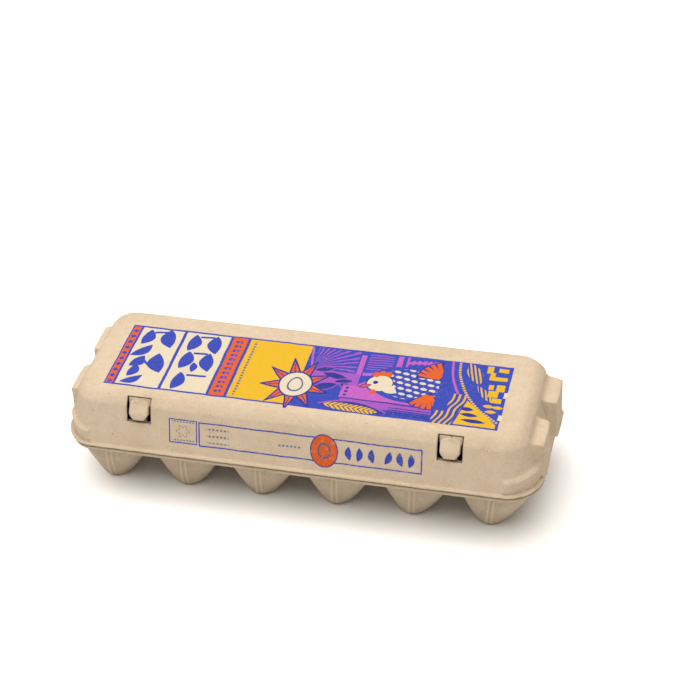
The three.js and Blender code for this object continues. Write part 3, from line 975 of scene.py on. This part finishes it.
def drawRight(art):
    # The right of the label: blocks, ribs and waves in yellow on blue.
    art.lay(art.box(79.5, 120.6, -33.8, 25.6), "blue")
    # a long arc with a dashed edge
    u, v = art.x - 154, art.y - 29
    reach = (u * u + v * v).math("SQRT")
    art.lay((abs(reach - 70.4) - 0.7).both(art.box(80, 98, -5, 25)), "pink")
    arc = abs(reach - 66)
    swing = v.math("ARCTAN2", u) * 66
    art.lay((arc - 0.75).both(abs(swing.repeat(2.2)) - 0.75).both(art.box(80, 119.6, -31, 24.6)), "yellow")
    # fan of ribs
    u, v = art.local(94, 26, -62)
    rib = abs((v + u * 0.25).repeat(2.4)) - 0.55
    art.lay(rib.both(art.leaf(98.6, 15.5, 11, 4.4, -66)), "yellow")
    art.lay(rib.both(art.leaf(107.5, -2.5, 9, 2.6, -52)), "yellow")
    # blocks
    art.layEach(
        art.box, "yellow", (105.2, 108.8, 17.6, 24.4), (112, 118.2, 19.6, 23.4), (107.6, 118.4, 11.4, 15),
        (107.6, 110.6, 13, 18.4), (113.4, 118.4, 1.4, 7.6), (108.8, 111.8, 2.6, 7), (109.4, 115.4, -4.4, 1.6),
        (112.6, 118.4, -9.4, -5))
    art.layEach(art.leaf, "yellow", (111.6, -13.2, 3.4, 1.5), (113.6, -18, 3.4, 1.5), (117, -13.6, 3.4, 1.5))
    # a corner of pale ground with dark leaves, under the arc
    corner = art.box(93.8, 118.8, -32.4, -8).both(art.half(95, -6.4, 119.5, -29.8))
    art.lay(corner.both(art.half(94, -33, 99, -8)), "yellow")
    art.layEach(art.leaf, "deepBlue", (99.4, -17.6, 4.6, 1.7, -3), (101.8, -22.8, 5.6, 1.7, -3),
                (105, -28.2, 7.6, 1.7, -3))
    # running water
    bend = art.y * 0.28 + ((art.y * 0.42).math("SINE")) * 0.6
    wave = abs((art.x - bend).repeat(3.3)) - 0.62
    water = art.box(80.6, 96, -35.2, -22).either(art.box(88, 101, -23, -5))
    art.lay(wave.both(water.both(art.half(92, -36, 99.5, -4) * -1)), "yellow")
    # bites out of the right edge
    art.layEach(art.box, "bare", (118.8, 121.5, -4, 0.8), (118.8, 121.5, -24.8, -20))


def drawFront(art):
    # The line of print along the lid's front: two boxes and an oval badge.
    art.lay(abs(art.box(-75.6, -58.6, 47.8, 62.6)) - 0.42, "blue")
    u, v = art.local(-67.2, 55.3)
    reach = (u * u + v * v).math("SQRT")
    petal = abs(reach - 3.2 - (v.math("ARCTAN2", u) * 6).math("COSINE") * 0.9) - 0.3
    art.lay(petal, "grey", 0.6)
    for height in (49.4, 61.4):
        row = (abs(art.y - height) - 0.5).both(abs(art.x.repeat(1.9)) - 0.6)
        art.lay(row.both(art.box(-74, -60, 40, 70)), "grey", 0.7)
    art.lay(abs(art.box(-57, 78.6, 47.4, 62.2)) - 0.5, "blue")
    bits = (abs(art.x.repeat(2.4)) - 0.8).both(abs((art.y - 1.4).repeat(4.4)) - 0.7)
    art.lay(bits.both(art.box(-52.5, -38.5, 49.4, 60.6)), "grey", 0.8)
    art.lay(bits.both(art.box(-8, 6.5, 53.2, 56.8)), "grey", 0.8)
    art.lay(art.oval(20, 54.2, 8.6, 10.6), "deepBlue")
    art.lay(art.oval(20, 54.2, 7.8, 9.8), "orange")
    egg = art.oval(20, 54.2, 3.4, 4.6)
    art.lay(abs(egg) - 0.5, "grey")
    for cx, turn, bend in (
            (34.5, 96, -0.8), (41.5, 84, 0.8), (48.5, 96, -0.8), (59, 70, 0.9), (65.5, 100, -0.9),
            (72.5, 84, 0.8)):
        art.lay(art.leaf(cx, 54.4, 4.6, 2.1, turn, bend), "blue", 0.6)


def makeDrawingGroup(name, draw):
    # One drawing as a group: takes a place on the flat and the colour under it, gives the colour and its ink.
    group, source, result = newGroup(name, [
        ("X", "Float"), ("Y", "Float"), ("Wobble", "Float"),
        ("Colour", "Color"),
    ], [("Colour", "Color"), ("Ink", "Float")])
    x, y, wobble = (Field(group, source.outputs[label]) for label in ("X", "Y", "Wobble"))
    art = Print(group, x, y, source.outputs["Colour"])
    art.wobble = wobble
    draw(art)
    feed(group, result.inputs["Colour"], art.colour)
    feed(group, result.inputs["Ink"], art.cover)
    return group


# what each group of marks on the pulp takes
markInputs = [("Place", "Vector"), ("Bare", "Color"), ("Fuzz", "Float")]


def makePrintGroup():
    # Flat inks on the lid's top and front, worn where the pulp is rough.
    top = [makeDrawingGroup(*pair) for pair in (
        ("printStrips", drawStrips), ("printYellow", drawYellow), ("printFields", drawFields),
        ("printSun", drawSun), ("printHen", drawHen), ("printRight", drawRight))]
    front = [makeDrawingGroup("printFront", drawFront)]
    group, source, result = newGroup("lidPrint", markInputs, [("Colour", "Color")])
    place = source.outputs["Place"]
    x, y, z = axes(group, place)
    fuzz = Field(group, source.outputs["Fuzz"])
    drift = noiseField(group, place, 12.0, detail=1.0) - 0.5
    wobble = noiseField(group, place, 5.0)
    frayed = (fuzz - 0.5) * 0.5

    def layDrawings(drawings, across, up):
        colour, ink = source.outputs["Bare"], None
        for drawing in drawings:
            node = addNode(group, "ShaderNodeGroup", {
                "X": across, "Y": up, "Wobble": wobble, "Colour": colour}, drawing)
            colour = node.outputs["Colour"]
            cover = Field(group, node.outputs["Ink"])
            ink = cover if ink is None else ink.both(cover)
        return colour, ink

    topColour, topInk = layDrawings(top, x + drift * 0.9 + frayed, y + drift * 1.1 - frayed)
    frontColour, frontInk = layDrawings(front, x + frayed, z + drift * 0.9 + frayed)
    onTop = band(z, 71.5, 72.2) * band(y, -40.0, -39.5)
    onFront = inside(y + 43.5, 0.5) * inside(z - 66.0, 0.5)
    worn = band(fuzz + drift * 0.25, 0.30, 0.42)
    patchy = band(noiseField(group, place, 3.2, detail=4.0, roughness=0.7), 0.30, 0.44)
    topInk = topInk * onTop * (worn * 0.16 + 0.84)
    frontInk = frontInk * onFront * (worn * 0.35 + 0.65) * (patchy * 0.5 + 0.5)
    colour = blendColour(group, topInk, source.outputs["Bare"], topColour)
    feed(group, result.inputs["Colour"], blendColour(group, frontInk, colour, frontColour))
    return group


# Where the painted highlights and painted shade lie along the cups' creases, and their colours.
creaseLook = {"apart": 1.5, "width": 0.5, "paintedCreaseHighlight": pulpLook["colour"], "paintedGrooveShade": pulpLook["dark"], "start": 31.0}


def makeCreaseGroup():
    # Painted highlights down the two creases of a cup's outer side, and painted shade in the groove between
    # them, for the light and shade the creases catch.
    group, source, result = newGroup("cupCreasePaintedLight", markInputs, [("Colour", "Color")])
    x, y, z = axes(group, source.outputs["Place"])
    fuzz = Field(group, source.outputs["Fuzz"])
    footX, mouthX = trayShape["footShift"][0], trayShape["mouthShift"]
    across = (x - (z * ((mouthX - footX) / deckHigh.z) + (footX + cellPitch / 2))).repeat(cellPitch)
    outer = band(abs(y), creaseLook["start"], creaseLook["start"] + 3.0) * inside(z - (deckHigh.z - 3.0), 2.0)
    # painted highlights along the two creases
    paintedCreaseHighlight = inside(abs(abs(across) - creaseLook["apart"]) - creaseLook["width"] + fuzz * 0.4 - 0.1, 0.5) * outer
    # painted shade in the groove between the creases
    paintedGrooveShade = inside(abs(across) - (creaseLook["apart"] - 0.9), 0.9) * outer
    colour = blendColour(group, paintedGrooveShade * 0.45, source.outputs["Bare"], creaseLook["paintedGrooveShade"])
    feed(group, result.inputs["Colour"], blendColour(group, paintedCreaseHighlight * 0.75, colour, creaseLook["paintedCreaseHighlight"]))
    return group


def pulpMaterial(name, pulpGroup, tone, markGroup=None):
    material = bpy.data.materials.new(name)
    material.use_nodes = True
    tree = material.node_tree
    shader = tree.nodes["Principled BSDF"]
    shader.inputs["Specular IOR Level"].default_value = pulpLook["gloss"]
    where = tree.nodes.new("ShaderNodeTexCoord").outputs["Object"]
    place = addNode(tree, "ShaderNodeMapping", {"Vector": where, "Scale": (1 / mm, 1 / mm, 1 / mm)}).outputs[0]
    grain = addNode(tree, "ShaderNodeGroup", {
        "Place": place, "Roughness": pulpLook["roughness"],
        "Colour": [part * tone for part in pulpLook["colour"]],
        "Shade": [part * tone for part in pulpLook["shade"]],
    }, pulpGroup).outputs
    colour = grain["Colour"]
    if markGroup:
        colour = addNode(tree, "ShaderNodeGroup", {"Place": place, "Bare": colour, "Fuzz": grain["Fuzz"]},
                         markGroup).outputs["Colour"]
    bump = addNode(tree, "ShaderNodeBump", {
        "Height": grain["Height"], "Strength": pulpLook["bump"], "Distance": pulpLook["bumpDepth"] * mm})
    for label, item in (("Base Color", colour), ("Roughness", grain["Roughness"]), ("Normal", bump.outputs[0])):
        feed(tree, shader.inputs[label], item)
    return material


pulpGroup = makePulpGroup()
pulp = pulpMaterial("pulp", pulpGroup, 0.97)
# The tray is the same pulp as the lid, painted darker (0.80 of the colour) as painted shade on the cups; its
# creases get painted highlight and painted shade.
shadedTrayPulp = pulpMaterial("tray pulp with painted shade", pulpGroup, 0.80, makeCreaseGroup())
postPulp = pulpMaterial("post pulp", pulpGroup, 0.80)
printedPulp = pulpMaterial("printed pulp", pulpGroup, 1.0, makePrintGroup())
print("finishes made")
lid = makeLid(lidShape, printedPulp, pulp)
tray = makeTray(trayShape, shadedTrayPulp)
posts = [makePost(number, postPulp) for number in range(1, 6)]
flap = makeFlap(flapShape, pulp)
rearHinge = makeRearHinge(postPulp)
frontHinge = makeFrontHinge(postPulp)
print("pieces made")

cupNodes = [f"egg_cup_{row}_{number}" for row in ("front", "rear") for number in range(1, 7)]
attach(lid, "lid")
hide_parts("lid_shell", "lid_rim")
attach(tray, "tray")
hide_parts("tray_deck", *cupNodes)
for number, post in enumerate(posts, 1):
    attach(post, "tray")
    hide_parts(f"centre_post_{number}")
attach(flap, "lock_flap")
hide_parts("lock_flap_panel", "lock_button_left", "lock_button_right")
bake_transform(rearHinge)
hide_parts("rear_hinge_web")
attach(frontHinge, "tray")
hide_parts("front_hinge_web")

studio = {
    "floor": (0.9, 0.9, 0.9),
    "world": 0.42, "worldColour": (1.0, 0.93, 0.83),
    "light": (-0.15, -0.12, 1.6), "lightSize": 2.4, "lightPower": 52, "lightColour": (1.0, 0.985, 0.965),
    "azimuth": 15.51, "elevation": 37.63, "roll": -3.1,
    "distance": 1.2021, "lens": 95.76, "aim": (0.00568, 0.07286, 0.0354),
}


def makeFloor():
    bm = bmesh.new()
    bmesh.ops.create_grid(bm, x_segments=1, y_segments=1, size=6)
    mesh = bpy.data.meshes.new("floor")
    bm.to_mesh(mesh)
    bm.free()
    floor = bpy.data.objects.new("floor", mesh)
    bpy.context.scene.collection.objects.link(floor)
    material = bpy.data.materials.new("floor")
    material.use_nodes = True
    shader = material.node_tree.nodes["Principled BSDF"]
    shader.inputs["Base Color"].default_value = (*studio["floor"], 1)
    shader.inputs["Roughness"].default_value = 0.8
    mesh.materials.append(material)


def makeLight():
    light = bpy.data.lights.new("overhead", "AREA")
    light.shape = "DISK"
    light.size, light.energy, light.color = (studio[key] for key in ("lightSize", "lightPower", "lightColour"))
    lamp = bpy.data.objects.new("overhead", light)
    lamp.location = studio["light"]
    lamp.rotation_euler = (-Vector(studio["light"])).to_track_quat("-Z", "Y").to_euler()
    bpy.context.scene.collection.objects.link(lamp)
    world = bpy.data.worlds.new("studio")
    world.use_nodes = True
    background = world.node_tree.nodes["Background"]
    background.inputs["Color"].default_value = (*studio["worldColour"], 1)
    background.inputs["Strength"].default_value = studio["world"]
    bpy.context.scene.world = world


def makeCamera():
    azimuth, elevation, roll = (math.radians(studio[key]) for key in ("azimuth", "elevation", "roll"))
    back = Vector((math.sin(azimuth) * math.cos(elevation), -math.cos(azimuth) * math.cos(elevation),
                   math.sin(elevation)))
    level = (-back).cross(Vector((0, 0, 1))).normalized()
    upright = level.cross(-back)
    right = level * math.cos(roll) + upright * math.sin(roll)
    up = upright * math.cos(roll) - level * math.sin(roll)
    data = bpy.data.cameras.new("camera")
    data.lens = studio["lens"]
    data.sensor_width = 36
    data.clip_start, data.clip_end = 0.01, 50
    camera = bpy.data.objects.new("camera", data)
    turn = Matrix((right, up, back)).transposed().to_4x4()
    camera.matrix_world = Matrix.Translation(Vector(studio["aim"]) + back * studio["distance"]) @ turn
    bpy.context.scene.collection.objects.link(camera)
    bpy.context.scene.camera = camera


makeFloor()
makeLight()
bpy.context.scene.view_settings.view_transform = "Standard"
makeCamera()
print("studio ready")
